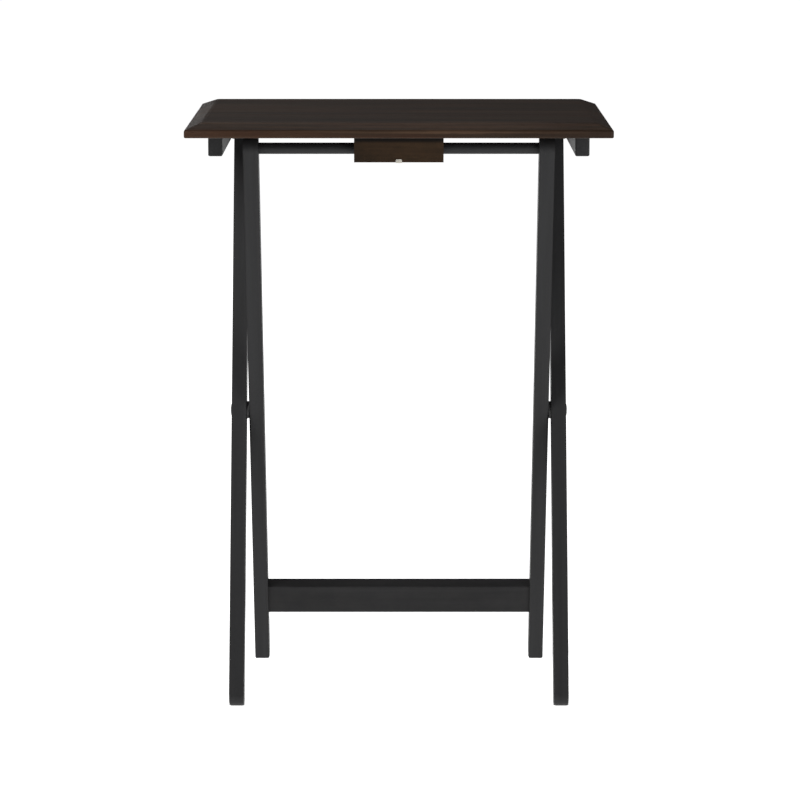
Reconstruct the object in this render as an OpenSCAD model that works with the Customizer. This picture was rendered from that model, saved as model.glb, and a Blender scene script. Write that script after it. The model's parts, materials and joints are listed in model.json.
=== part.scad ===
// Folding tray table: a bevelled wooden tray on two crossed pairs of straight legs.
// The outer legs are hinged to the tray at the back, the inner legs carry a round dowel
// that rests in a catch block under the front of the tray, and both pairs turn on two bolts.
// Origin: on the floor under the middle of the tray. X runs across, -Y is the front, Z is up.

/* [Table] */
// Height of the tray's top face above the floor
table_h = 668; // [500:1:850]
// Distance from the front dowel to the rear dowel, measured along Y
top_spread = 240; // [170:1:290]
// Height of the two leg pivots above the floor
pivot_h = 321; // [230:1:400]

/* [Tray] */
// Width of the tray
tray_w = 470; // [320:1:650]
// Depth of the tray, front to back
tray_d = 370; // [300:1:520]
// Thickness of the tray
tray_t = 16; // [12:0.5:24]
// Height of the tray's plain vertical edge, under the bevel
edge_h = 8.6; // [4:0.1:11]
// Width of the bevel around the top face
bevel_w = 19.5; // [6:0.5:22]

/* [Legs] */
// Width of a leg, seen from the side of the table
leg_w = 28; // [22:0.5:36]
// Thickness of a leg, seen from the front of the table
leg_t = 17; // [14:0.5:24]
// Radius of a foot's rounded toe
toe_r = 9; // [4:0.5:12]
// Gap between the legs' round top ends and the tray's underside
leg_top_gap = 2.7; // [1:0.1:8]
// Gap between an outer leg and the inner leg beside it
leg_gap = 3.2; // [2:0.1:6]

/* [Dowels] */
// Diameter of the front and rear dowels
dowel_d = 12.7; // [10:0.1:16]
// Depth of the front dowel in each inner leg
dowel_depth = 13; // [8:0.5:14]
// Diameter of the rear dowel's turned-down ends, which are the tray's hinge pins
hinge_pin_d = 9.5; // [6:0.5:10]
// Length of a hinge pin inside its cleat
hinge_pin_l = 10.5; // [6:0.5:12]
// Diameter of the brads that lock the dowels in the legs
brad_d = 1.6; // [1:0.1:2.5]
// Length of those brads
brad_l = 17; // [12:0.5:20]

/* [Cleats] */
// Distance from the tray's side edge to the outer face of a cleat
cleat_inset = 23; // [23:0.5:45]
// Thickness of a cleat, across the table
cleat_t = 16; // [14:0.5:24]
// Height of a cleat below the hinge axis
cleat_below = 9.3; // [8:0.1:16]
// Distance from the tray's front edge to the front end of a cleat
cleat_setback = 67; // [40:1:90]
// Length of a cleat behind the hinge axis
cleat_tail = 26; // [14:1:28]
// Gap between an outer leg and the cleat beside it
hinge_gap = 3; // [2:0.1:6]
// Outer diameter of the hinge washers
hinge_washer_d = 22; // [16:0.5:28]

/* [Cleat screws] */
// Shank diameter of the cleat screws
cleat_screw_d = 4; // [3:0.1:5]
// Depth of a cleat screw's tip in the tray
cleat_screw_bite = 10; // [6:0.5:11]
// Depth of the round pocket above which a screw's head sits in the cleat
screw_pocket = 6; // [4:0.5:10]

/* [Pivots] */
// Shank diameter of the pivot bolts
bolt_d = 6; // [5:0.5:8]
// Diameter of a pivot bolt's domed head
bolt_head_d = 14; // [12:0.5:18]
// Height of a pivot bolt's domed head
bolt_head_h = 1.5; // [1:0.1:2.4]
// Outer diameter of the threaded inserts
insert_d = 9; // [9:0.5:12]
// Length of a threaded insert in its inner leg
insert_l = 13; // [9:0.5:14]
// Outer diameter of the washers between the legs
pivot_washer_d = 20; // [14:0.5:26]

/* [Stretcher] */
// Height of the stretcher's middle above the floor
stretcher_z = 81; // [60:1:160]
// Width of the stretcher, measured along the inner legs
stretcher_h = 37; // [24:1:60]
// Thickness of the stretcher
stretcher_t = 19; // [14:0.5:22]
// Diameter of the four wooden pins in the stretcher's ends
end_pin_d = 8; // [6:0.5:10]
// Length of each wooden pin, half in the leg and half in the stretcher
end_pin_l = 24; // [16:1:28]
// Distance between the two pins in one end
end_pin_pitch = 19; // [12:0.5:24]

/* [Catch] */
// Width of the catch block
block_w = 99; // [60:1:160]
// Height of the catch block below the front dowel's axis
block_below = 13.8; // [10:0.1:20]
// Thickness of the block's front wall, which stops the front dowel
block_wall = 13; // [8:0.5:16]
// Depth of the block's roof behind the axis of the front dowel
block_back = 25; // [18:1:40]
// Distance between the block's two screws
block_screw_pitch = 60; // [30:1:80]
// Shank diameter of the block's screws
block_screw_d = 4; // [3:0.1:5]
// Depth of a block screw's tip in the tray
block_screw_bite = 9.25; // [6:0.25:11]
// Width of the metal clip on the block's front wall
clip_w = 7; // [5:0.5:16]
// Thickness of the clip's metal
clip_t = 0.8; // [0.5:0.1:1.2]
// Height of the clip's turned-up front end
clip_tab = 3.5; // [2:0.5:8]
// Diameter of the clip's nail
clip_nail_d = 1.6; // [1.2:0.1:2]
// Length of the clip's nail
clip_nail_l = 12; // [8:0.5:16]

/* [Clearances] */
// Radial running clearance of pins and bolts in their bores
run_c = 0.05; // [0.02:0.01:0.1]
// Radial clearance of glued, pressed or driven pieces
glue_c = 0.02; // [0.01:0.01:0.05]
// Gap at each face of a washer or bolt head
face_c = 0.1; // [0.05:0.05:0.3]
// Gap between the front dowel and the catch
catch_c = 0.3; // [0.2:0.1:0.5]

/* [Hidden] */
$fn = 64;
eps = 0.01;
under_z = table_h - tray_t;
dowel_drop = leg_w / 2 + leg_top_gap;
cleat_h = dowel_drop + cleat_below;
block_h = dowel_drop + block_below;
axis_z = under_z - dowel_drop;
front_y = -top_spread / 2;
rear_y = top_spread / 2;
rise = axis_z - pivot_h;
lean = atan(rear_y / rise);
leg_up = rise / cos(lean);
cleat_out_x = tray_w / 2 - cleat_inset;
cleat_in_x = cleat_out_x - cleat_t;
outer_out_x = cleat_in_x - hinge_gap;
outer_in_x = outer_out_x - leg_t;
inner_out_x = outer_in_x - leg_gap;
inner_in_x = inner_out_x - leg_t;
cleat_front_y = cleat_setback - tray_d / 2;
cleat_back_y = rear_y + cleat_tail;
stop_y = front_y - dowel_d / 2 - catch_c;
wall_in_y = stop_y - clip_t;
wall_out_y = wall_in_y - block_wall;
roof_z = axis_z + dowel_d / 2 + catch_c;
block_z = under_z - block_h;
block_back_y = front_y + block_back;
block_screw_y = front_y + dowel_d / 2 + (block_back - dowel_d / 2) / 2;
head_sink = 0.3;
block_screw_l = under_z + block_screw_bite - roof_z - head_sink;
cleat_screw_l = cleat_h - screw_pocket + cleat_screw_bite;
cleat_screw_ys = [for (k = [0 : 2]) cleat_front_y + 22 + k * (rear_y - 30 - cleat_front_y - 22) / 2];
stretcher_s = (stretcher_z - pivot_h) / cos(lean);

// A point of the outer leg's side outline: s runs up the leg from the pivot, n towards its front face.
function leg_point(s, n) = [s * sin(lean) - n * cos(lean), pivot_h + s * cos(lean) + n * sin(lean)];

// Distance along the leg at which a line n in front of its middle is z above the floor.
function leg_s(n, z) = (z - pivot_h - n * sin(lean)) / cos(lean);

// A round bar along X, from x0 to x1.
module bar_x(d, x0, x1) {
    translate([x0, 0, 0])
        rotate([0, 90, 0])
            cylinder(d = d, h = x1 - x0);
}

// A side outline in Y and Z, drawn from x0 to x1.
module side_extrude(x0, x1) {
    translate([x0, 0, 0])
        rotate([90, 0, 90])
            linear_extrude(x1 - x0)
                children();
}

// Side outline of an outer leg: round top end, flat foot with a rounded toe.
module leg_outline() {
    toe_n = leg_w / 2 - toe_r;
    toe_c = leg_point(leg_s(toe_n, toe_r), toe_n);
    toe_face = toe_c + toe_r * [-cos(lean), sin(lean)];
    heel = leg_point(leg_s(-leg_w / 2, 0), -leg_w / 2);
    hull() {
        translate(leg_point(leg_up, 0))
            rotate(-lean)
                circle(d = leg_w, $fn = 32);
        translate(toe_c)
            circle(r = toe_r, $fn = 32);
        polygon([toe_face, [toe_c[0], 0], heel]);
    }
}

// A cross brad that enters the leg's narrow face and stops in the dowel, at the dowel's axis height.
module brad_shape(x, grow) {
    translate([x, rear_y, axis_z])
        rotate([90 - lean, 0, 0])
            translate([0, 0, -leg_w / 2])
                cylinder(d = brad_d + 2 * grow, h = brad_l + grow, $fn = 32);
}

// A flat-head wood screw pointing up, with the middle of its head's flat face at the origin.
module wood_screw(d, len, grow) {
    head_h = d * 0.55;
    union() {
        cylinder(d1 = 2 * d + 2 * grow, d2 = d + 2 * grow, h = head_h);
        cylinder(d = d + 2 * grow, h = len - d + grow);
        translate([0, 0, len - d + grow])
            cylinder(d1 = d + 2 * grow, d2 = 0.6, h = d);
    }
}

module cleat_screw_places() {
    for (side = [-1, 1], y = cleat_screw_ys)
        translate([side * (cleat_in_x + cleat_t / 2), y, under_z - cleat_h + screw_pocket])
            children();
}

module block_screw_places() {
    for (side = [-1, 1])
        translate([side * block_screw_pitch / 2, block_screw_y, roof_z + head_sink])
            children();
}

module end_pin_places() {
    for (side = [-1, 1], k = [-1, 1])
        translate([side * inner_in_x, 0, pivot_h])
            rotate([lean, 0, 0])
                translate([0, 0, stretcher_s + k * end_pin_pitch / 2])
                    children();
}

module tray_top() {
    color([0.20, 0.15, 0.13])
    difference() {
        intersection() {
            side_extrude(-tray_w / 2, tray_w / 2)
                tray_outline(tray_d);
            translate([0, tray_d / 2, 0])
                rotate([90, 0, 0])
                    linear_extrude(tray_d)
                        tray_outline(tray_w);
        }
        cleat_screw_places()
            wood_screw(cleat_screw_d, cleat_screw_l, glue_c);
        block_screw_places()
            wood_screw(block_screw_d, block_screw_l, glue_c);
    }
}

// Cross outline of the tray, which is the same from the front and from the side.
module tray_outline(size) {
    polygon([[-size / 2, under_z], [size / 2, under_z], [size / 2, under_z + edge_h],
        [size / 2 - bevel_w, table_h], [bevel_w - size / 2, table_h], [-size / 2, under_z + edge_h]]);
}

module cleat(side) {
    x0 = side > 0 ? cleat_in_x : -cleat_out_x;
    color([0.16, 0.16, 0.17])
    difference() {
        translate([x0, cleat_front_y, under_z - cleat_h])
            cube([cleat_t, cleat_back_y - cleat_front_y, cleat_h]);
        translate([0, rear_y, axis_z])
            bar_x(hinge_pin_d + 2 * run_c, side > 0 ? cleat_in_x - 1 : -cleat_in_x - hinge_pin_l - face_c,
                side > 0 ? cleat_in_x + hinge_pin_l + face_c : 1 - cleat_in_x);
        cleat_screw_places() {
            wood_screw(cleat_screw_d, cleat_screw_l, glue_c);
            translate([0, 0, -screw_pocket - 1])
                cylinder(d = 2 * cleat_screw_d + 1, h = screw_pocket + 1);
        }
    }
}

module cleat_left() {
    cleat(-1);
}

module cleat_right() {
    cleat(1);
}

module cleat_screws() {
    color([0.62, 0.60, 0.56])
    cleat_screw_places()
        wood_screw(cleat_screw_d, cleat_screw_l, 0);
}

// The front wall stops the front dowel, and the roof rests on it.
module catch_block() {
    color([0.21, 0.16, 0.12])
    difference() {
        side_extrude(-block_w / 2, block_w / 2)
            polygon([[wall_out_y, block_z], [wall_in_y, block_z], [wall_in_y, roof_z],
                [block_back_y, roof_z], [block_back_y, under_z], [wall_out_y, under_z]]);
        block_screw_places() {
            wood_screw(block_screw_d, block_screw_l, glue_c);
            translate([0, 0, -1])
                cylinder(d = 2 * block_screw_d + 2 * glue_c, h = 1 + eps);
        }
        clip_nail_shape(glue_c);
    }
}

module catch_block_screws() {
    color([0.62, 0.60, 0.56])
    block_screw_places()
        wood_screw(block_screw_d, block_screw_l, 0);
}

// A strip that lines the stop wall, wraps its lower edge and turns up at the front.
module catch_clip() {
    color([0.75, 0.74, 0.72])
    difference() {
        side_extrude(-clip_w / 2, clip_w / 2)
            polygon([[wall_in_y, roof_z - 1], [stop_y, roof_z - 1], [stop_y, block_z - clip_t],
                [wall_out_y - clip_t, block_z - clip_t], [wall_out_y - clip_t, block_z + clip_tab],
                [wall_out_y, block_z + clip_tab], [wall_out_y, block_z], [wall_in_y, block_z]]);
        clip_nail_shape(glue_c);
    }
}

module clip_nail_shape(grow) {
    translate([0, (wall_in_y + wall_out_y) / 2, block_z - clip_t]) {
        translate([0, 0, -0.8])
            cylinder(d = 2.2 * clip_nail_d, h = 0.8, $fn = 32);
        translate([0, 0, -eps])
            cylinder(d = clip_nail_d + 2 * grow, h = clip_nail_l + clip_t + grow, $fn = 32);
    }
}

module catch_clip_nail() {
    color([0.62, 0.60, 0.56])
    clip_nail_shape(0);
}

module hinge_washer(side) {
    color([0.85, 0.85, 0.83])
    translate([side > 0 ? outer_out_x + face_c : face_c - cleat_in_x, rear_y, axis_z])
        rotate([0, 90, 0])
            difference() {
                cylinder(d = hinge_washer_d, h = hinge_gap - 2 * face_c);
                translate([0, 0, -1])
                    cylinder(d = hinge_pin_d + 2 * run_c, h = hinge_gap + 2);
            }
}

module hinge_washer_left() {
    hinge_washer(-1);
}

module hinge_washer_right() {
    hinge_washer(1);
}

module outer_leg(side) {
    x0 = side > 0 ? outer_in_x : -outer_out_x;
    color([0.17, 0.17, 0.18])
    difference() {
        side_extrude(x0, x0 + leg_t)
            leg_outline();
        translate([0, rear_y, axis_z])
            bar_x(dowel_d + 2 * glue_c, x0 - 1, x0 + leg_t + 1);
        translate([0, 0, pivot_h])
            bar_x(bolt_d + 2 * run_c, x0 - 1, x0 + leg_t + 1);
        brad_shape(x0 + leg_t / 2, glue_c);
    }
}

module outer_leg_left() {
    outer_leg(-1);
}

module outer_leg_right() {
    outer_leg(1);
}

// Glued through both outer legs; its thinner ends are the pins that the tray's cleats turn on.
module rear_dowel() {
    color([0.15, 0.15, 0.16])
    difference() {
        translate([0, rear_y, axis_z]) {
            bar_x(dowel_d, -outer_out_x, outer_out_x);
            bar_x(hinge_pin_d, -cleat_in_x - hinge_pin_l, cleat_in_x + hinge_pin_l);
        }
        rear_brads(glue_c);
    }
}

module rear_brads(grow) {
    for (side = [-1, 1])
        brad_shape(side * (outer_in_x + leg_t / 2), grow);
}

module rear_dowel_brads() {
    color([0.55, 0.54, 0.52])
    rear_brads(0);
}

module inner_leg(side) {
    x0 = side > 0 ? inner_in_x : -inner_out_x;
    mouth = side > 0 ? inner_in_x - 1 : 1 - inner_in_x;
    color([0.17, 0.17, 0.18])
    difference() {
        mirror([0, 1, 0])
            side_extrude(x0, x0 + leg_t)
                leg_outline();
        translate([0, front_y, axis_z])
            blind_bar(dowel_d + 2 * glue_c, side, inner_in_x - 1, inner_in_x + dowel_depth + glue_c);
        translate([0, 0, pivot_h])
            blind_bar(insert_d + 2 * glue_c, side, inner_out_x - insert_l - glue_c, inner_out_x + 1);
        end_pin_places()
            end_pin(glue_c);
        front_brads(glue_c);
    }
}

// A round bar along X on one side of the table, from r0 to r1 away from its middle.
module blind_bar(d, side, r0, r1) {
    bar_x(d, side > 0 ? r0 : -r1, side > 0 ? r1 : -r0);
}

module inner_leg_left() {
    inner_leg(-1);
}

module inner_leg_right() {
    inner_leg(1);
}

module front_dowel() {
    color([0.15, 0.15, 0.16])
    difference() {
        translate([0, front_y, axis_z])
            bar_x(dowel_d, -inner_in_x - dowel_depth, inner_in_x + dowel_depth);
        front_brads(glue_c);
    }
}

module front_brads(grow) {
    for (side = [-1, 1])
        mirror([0, 1, 0])
            brad_shape(side * (inner_in_x + dowel_depth / 2), grow);
}

module front_dowel_brads() {
    color([0.55, 0.54, 0.52])
    front_brads(0);
}

module stretcher() {
    color([0.16, 0.16, 0.17])
    difference() {
        translate([0, 0, pivot_h])
            rotate([lean, 0, 0])
                translate([-inner_in_x, -stretcher_t / 2, stretcher_s - stretcher_h / 2])
                    cube([2 * inner_in_x, stretcher_t, stretcher_h]);
        end_pin_places()
            end_pin(glue_c);
    }
}

module end_pin(grow) {
    bar_x(end_pin_d + 2 * grow, -end_pin_l / 2 - grow, end_pin_l / 2 + grow);
}

module stretcher_pins() {
    color([0.66, 0.52, 0.36])
    end_pin_places()
        end_pin(0);
}

// A domed head outside the outer leg, a plain shank through it, and a thread in the insert.
module pivot_bolts() {
    dome_r = (pow(bolt_head_d / 2, 2) + pow(bolt_head_h, 2)) / (2 * bolt_head_h);
    color([0.20, 0.20, 0.21])
    for (side = [0, 1])
        mirror([side, 0, 0])
            translate([0, 0, pivot_h]) {
                bar_x(bolt_d, inner_out_x - insert_l, outer_out_x + face_c + eps);
                intersection() {
                    translate([outer_out_x + face_c + bolt_head_h - dome_r, 0, 0])
                        rotate([0, 90, 0])
                            sphere(r = dome_r);
                    bar_x(bolt_head_d + 1, outer_out_x + face_c, outer_out_x + face_c + bolt_head_h + 1);
                }
            }
}

module pivot_inserts() {
    color([0.72, 0.60, 0.36])
    for (side = [0, 1])
        mirror([side, 0, 0])
            translate([0, 0, pivot_h])
                difference() {
                    bar_x(insert_d, inner_out_x - insert_l, inner_out_x);
                    bar_x(bolt_d + 2 * glue_c, inner_out_x - insert_l - 1, inner_out_x + 1);
                }
}

module pivot_washers() {
    color([0.85, 0.85, 0.83])
    for (side = [0, 1])
        mirror([side, 0, 0])
            translate([0, 0, pivot_h])
                difference() {
                    bar_x(pivot_washer_d, inner_out_x + face_c, outer_in_x - face_c);
                    bar_x(bolt_d + 2 * run_c, inner_out_x - 1, outer_in_x + 1);
                }
}

tray_top();
cleat_left();
cleat_right();
cleat_screws();
catch_block();
catch_block_screws();
catch_clip();
catch_clip_nail();
hinge_washer_left();
hinge_washer_right();
outer_leg_left();
outer_leg_right();
rear_dowel();
rear_dowel_brads();
inner_leg_left();
inner_leg_right();
front_dowel();
front_dowel_brads();
stretcher();
stretcher_pins();
pivot_bolts();
pivot_inserts();
pivot_washers();
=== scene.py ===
"""Folding tray table: the visible pieces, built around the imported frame.

The tray, legs and catch are shaped here with rounded edges, real holes and screw heads, and every
surface gets a material made of nodes. Lengths are in metres. X runs across, -Y is the front, Z is up.
"""

import json
import math

import bmesh
import bpy
from mathutils import Matrix, Vector


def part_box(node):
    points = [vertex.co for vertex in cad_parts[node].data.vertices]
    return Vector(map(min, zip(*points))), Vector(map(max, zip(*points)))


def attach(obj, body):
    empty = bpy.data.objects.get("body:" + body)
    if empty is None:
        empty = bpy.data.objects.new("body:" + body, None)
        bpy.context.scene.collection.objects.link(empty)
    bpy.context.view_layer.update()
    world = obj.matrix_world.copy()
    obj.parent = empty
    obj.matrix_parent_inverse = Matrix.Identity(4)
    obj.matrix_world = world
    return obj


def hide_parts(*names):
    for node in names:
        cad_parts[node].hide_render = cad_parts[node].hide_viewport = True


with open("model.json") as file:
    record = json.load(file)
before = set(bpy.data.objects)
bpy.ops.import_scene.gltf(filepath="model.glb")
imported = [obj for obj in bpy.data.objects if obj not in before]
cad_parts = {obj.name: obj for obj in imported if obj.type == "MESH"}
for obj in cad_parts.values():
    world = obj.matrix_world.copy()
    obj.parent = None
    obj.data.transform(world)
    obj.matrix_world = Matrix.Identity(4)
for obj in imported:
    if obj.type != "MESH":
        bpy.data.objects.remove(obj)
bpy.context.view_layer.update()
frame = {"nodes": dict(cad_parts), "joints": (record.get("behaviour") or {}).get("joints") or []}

bl_info = {
    "name": "Folding tray table",
    "version": (1, 0, 0),
    "blender": (4, 5, 0),
    "location": "3D View > Sidebar > Tray table",
    "description": "Builds a wooden folding tray table with a bevelled top on crossed legs",
    "category": "Add Mesh",
}

MM = 0.001
ROUND_STEPS = 56
DOME_STEPS = 8
SHARP_ANGLE = 35.0
CUT_PAST = 1.0 * MM

# radii of the pins, bolts and screws, and of the holes that take them
HINGE_PIN = 4.75 * MM
HINGE_BORE = 4.8 * MM
DOWEL_BORE = 6.37 * MM
BOLT_SHANK = 3.0 * MM
BOLT_BORE = 3.05 * MM
HEX_CORNER = 2.3 * MM
INSERT_BORE = 4.52 * MM
SCREW_HEAD = 4.0 * MM
SCREW_BORE = 2.02 * MM

# lengths, thicknesses and gaps
SCREW_CONE = 2.2 * MM
SCREW_DRILL = 24.0 * MM
INSERT_LENGTH = 13.0 * MM
SIDE_GAP = 0.1 * MM
CATCH_GAP = 0.3 * MM
CLIP_THICK = 0.8 * MM
CLIP_TAB = 4.3 * MM
HEEL_ROUND = 1.2 * MM
STAVE_WIDTH = 92.5 * MM
BLOCK_STAVE = 200.0 * MM
# how far below the tray's underside the painted shadow on the catch block starts, and over what height it
# fades in
PAINTED_SHADOW_DROP = 9.5 * MM
PAINTED_SHADOW_FADE = 3.0 * MM
SAME_SCREW = 3.0 * MM
FLOOR_GAP = 0.05 * MM
FLOOR_REACH = 40.0
CAMERA_SIDE = 1.3 * MM

# how glossy the paint is on the legs and on the stretcher
LEG_SHINE = 0.18
STRETCHER_SHINE = 0.10


# ---------------------------------------------------------------- places taken from the frame

def joint_place(name):
    """The point a joint turns about."""
    found = [j for j in frame["joints"] if j["name"] == name]
    return Vector(found[0]["pos_m"])


def span(node, axis):
    """Lowest and highest value of a node along one axis, 0 for X, 1 for Y or 2 for Z."""
    low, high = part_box(node)
    return low[axis], high[axis]


PIVOT = joint_place("leg_fold")
HINGE = joint_place("tray_tilt")
FRONT_AXIS = Vector((0, -HINGE.y, HINGE.z))
LEAN = math.atan2(HINGE.y - PIVOT.y, HINGE.z - PIVOT.z)
LEG_UP = (HINGE - PIVOT).length
LEG_HALF = span("outer_leg_left", 2)[1] - HINGE.z
UNDER_Z = span("tray_top", 2)[0]
TOP_Z = span("tray_top", 2)[1]


# ---------------------------------------------------------------- mesh helpers

def smooth_faces(bm, sharp_angle):
    """Smooths every face, and keeps the edges sharp where the faces turn by more than the angle."""
    limit = math.radians(sharp_angle)
    for face in bm.faces:
        face.smooth = True
    for edge in bm.edges:
        edge.smooth = len(edge.link_faces) != 2 or edge.calc_face_angle(0.0) < limit


def finish_mesh(bm, name, sharp_angle=SHARP_ANGLE):
    """Turns a bmesh into a mesh object with smooth faces and sharp corners, and links it."""
    bmesh.ops.remove_doubles(bm, verts=bm.verts, dist=1e-7)
    bmesh.ops.recalc_face_normals(bm, faces=bm.faces)
    smooth_faces(bm, sharp_angle)
    mesh = bpy.data.meshes.new(name)
    bm.to_mesh(mesh)
    bm.free()
    piece = bpy.data.objects.new(name, mesh)
    bpy.context.scene.collection.objects.link(piece)
    return piece


def even_normals(piece):
    """Keeps wide flat faces flat-looking beside narrow rounded edges."""
    modifier = piece.modifiers.new("even_normals", "WEIGHTED_NORMAL")
    modifier.keep_sharp = True
    modifier.weight = 80


def carve(piece, cutters):
    """Cuts the cutters out of the piece, keeps the cut mesh and deletes the cutters."""
    for cutter in cutters:
        modifier = piece.modifiers.new("cut", "BOOLEAN")
        modifier.operation = "DIFFERENCE"
        modifier.solver = "EXACT"
        modifier.object = cutter
    bpy.context.view_layer.update()
    graph = bpy.context.evaluated_depsgraph_get()
    cut = bpy.data.meshes.new_from_object(piece.evaluated_get(graph))
    cut.name = piece.data.name
    piece.modifiers.clear()
    piece.data = cut
    for cutter in cutters:
        bpy.data.objects.remove(cutter)
    bm = bmesh.new()
    bm.from_mesh(cut)
    bmesh.ops.remove_doubles(bm, verts=bm.verts, dist=1e-6)
    bmesh.ops.dissolve_degenerate(bm, edges=bm.edges, dist=1e-6)
    smooth_faces(bm, SHARP_ANGLE)
    bm.to_mesh(cut)
    bm.free()


def rectangle(x0, x1, y0, y1):
    """The four corners of a rectangle, in order."""
    return [(x0, y0), (x1, y0), (x1, y1), (x0, y1)]


def prism(bm, outline, x0, x1):
    """Closed prism of a Y and Z outline between two X values. Returns the edges of its two ends."""
    low = [bm.verts.new((x0, y, z)) for y, z in outline]
    high = [bm.verts.new((x1, y, z)) for y, z in outline]
    ends = [bm.faces.new(low), bm.faces.new(high[::-1])]
    for i in range(len(outline)):
        j = (i + 1) % len(outline)
        bm.faces.new((low[j], low[i], high[i], high[j]))
    return list({edge for face in ends for edge in face.edges})


def round_edges(bm, edges, radius, steps=3):
    """Rounds the given edges."""
    bmesh.ops.bevel(bm, geom=edges, offset=radius, offset_type="OFFSET", segments=steps,
                    profile=0.5, affect="EDGES", clamp_overlap=True)


def lathe(bm, profile, place, closed=False, steps=ROUND_STEPS):
    """Turned shape: profile points are (distance along the axis, radius) and place puts its Z axis."""
    rings = []
    for along, radius in profile:
        if radius < 1e-7:
            rings.append([bm.verts.new(place @ Vector((0, 0, along)))])
            continue
        ring = []
        for k in range(steps):
            turn = 2 * math.pi * k / steps
            point = Vector((radius * math.cos(turn), radius * math.sin(turn), along))
            ring.append(bm.verts.new(place @ point))
        rings.append(ring)
    pairs = list(zip(rings, rings[1:]))
    if closed:
        pairs.append((rings[-1], rings[0]))
    else:
        for ring in (rings[0], rings[-1]):
            if len(ring) > 1:
                bm.faces.new(ring)
    for a, b in pairs:
        for k in range(steps):
            j = (k + 1) % steps
            if len(a) == 1:
                bm.faces.new((a[0], b[k], b[j]))
            elif len(b) == 1:
                bm.faces.new((a[k], a[j], b[0]))
            else:
                bm.faces.new((a[k], a[j], b[j], b[k]))


def along_x(x, y, z):
    """A place whose Z axis points along +X."""
    return Matrix.Translation((x, y, z)) @ Matrix.Rotation(math.pi / 2, 4, "Y")


def arc(centre, radius, start, end, steps):
    """Points of a circular arc in Y and Z, from one angle to another in degrees."""
    points = []
    for k in range(steps + 1):
        turn = math.radians(start + (end - start) * k / steps)
        points.append((centre[0] + radius * math.cos(turn), centre[1] + radius * math.sin(turn)))
    return points


def drill(radius, x0, x1, y, z):
    """A round cutter along X."""
    bm = bmesh.new()
    lathe(bm, [(0, radius), (x1 - x0, radius)], along_x(x0, y, z))
    return finish_mesh(bm, "cutter")


def join_rules(piece, body, nodes, material):
    """Gives a finished piece its material and body, and hides the CAD nodes that it stands for."""
    piece.data.materials.clear()
    piece.data.materials.append(material)
    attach(piece, body)
    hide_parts(*nodes)


# ---------------------------------------------------------------- material helpers

def new_material(name):
    """An empty node material with its output and main shader. Returns material, tree and shader."""
    material = bpy.data.materials.new(name)
    material.use_nodes = True
    tree = material.node_tree
    tree.nodes.clear()
    output = tree.nodes.new("ShaderNodeOutputMaterial")
    shader = tree.nodes.new("ShaderNodeBsdfPrincipled")
    tree.links.new(shader.outputs["BSDF"], output.inputs["Surface"])
    return material, tree, shader


def put(tree, socket, value):
    """Sets a socket to a value, or links another node's output to it."""
    if isinstance(value, bpy.types.NodeSocket):
        tree.links.new(value, socket)
    else:
        socket.default_value = value


def object_points(tree, scale, lean=0.0, shift=(0, 0, 0)):
    """The piece's own coordinates, turned upright by its lean and then scaled for a texture."""
    coordinates = tree.nodes.new("ShaderNodeTexCoord")
    upright = tree.nodes.new("ShaderNodeMapping")
    upright.inputs["Rotation"].default_value = (lean, 0.0, 0.0)
    tree.links.new(coordinates.outputs["Object"], upright.inputs["Vector"])
    mapping = tree.nodes.new("ShaderNodeMapping")
    tree.links.new(upright.outputs["Vector"], mapping.inputs["Vector"])
    mapping.inputs["Scale"].default_value = scale
    mapping.inputs["Location"].default_value = shift
    return mapping.outputs["Vector"]


def noise(tree, points, detail, roughness, distortion=0.0):
    """Noise texture's factor. The points carry the scale."""
    node = tree.nodes.new("ShaderNodeTexNoise")
    tree.links.new(points, node.inputs["Vector"])
    node.inputs["Scale"].default_value = 1.0
    node.inputs["Detail"].default_value = detail
    node.inputs["Roughness"].default_value = roughness
    node.inputs["Distortion"].default_value = distortion
    return node.outputs["Fac"]


def calc(tree, operation, a, b=0.0, c=0.0):
    """A Math node."""
    node = tree.nodes.new("ShaderNodeMath")
    node.operation = operation
    put(tree, node.inputs[0], a)
    put(tree, node.inputs[1], b)
    put(tree, node.inputs[2], c)
    return node.outputs[0]


def spread(tree, value, low, high, to_low, to_high):
    """Maps a range of values onto another, and clamps."""
    node = tree.nodes.new("ShaderNodeMapRange")
    node.clamp = True
    put(tree, node.inputs["Value"], value)
    node.inputs["From Min"].default_value = low
    node.inputs["From Max"].default_value = high
    node.inputs["To Min"].default_value = to_low
    node.inputs["To Max"].default_value = to_high
    return node.outputs["Result"]


def blend(tree, share, a, b):
    """Mixes two colours."""
    node = tree.nodes.new("ShaderNodeMix")
    node.data_type = "RGBA"
    node.blend_type = "MIX"
    put(tree, node.inputs["Factor"], share)
    put(tree, node.inputs[6], a)
    put(tree, node.inputs[7], b)
    return node.outputs[2]


def ramp(tree, value, stops):
    """Colour ramp with stops of (position, colour)."""
    node = tree.nodes.new("ShaderNodeValToRGB")
    tree.links.new(value, node.inputs["Fac"])
    elements = node.color_ramp.elements
    while len(elements) < len(stops):
        elements.new(0.5)
    for element, (position, colour) in zip(elements, stops):
        element.position = position
        element.color = colour
    return node.outputs["Color"]


def relief(tree, shader, height, strength, depth):
    """Bumps the shader with a height."""
    node = tree.nodes.new("ShaderNodeBump")
    node.inputs["Strength"].default_value = strength
    node.inputs["Distance"].default_value = depth
    tree.links.new(height, node.inputs["Height"])
    tree.links.new(node.outputs["Normal"], shader.inputs["Normal"])


def worn_edges(tree, points, low, high):
    """0 on flat faces, up to 1 on outer edges, broken up along them."""
    geometry = tree.nodes.new("ShaderNodeNewGeometry")
    edge = spread(tree, geometry.outputs["Pointiness"], low, high, 0.0, 1.0)
    patches = spread(tree, noise(tree, points, 4.0, 0.6), 0.35, 0.65, 0.25, 1.0)
    return calc(tree, "MULTIPLY", edge, patches)


def shade(colour, factor):
    """A colour made lighter or darker, with full alpha."""
    return (colour[0] * factor, colour[1] * factor, colour[2] * factor, 1.0)


# ---------------------------------------------------------------- finishes

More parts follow.
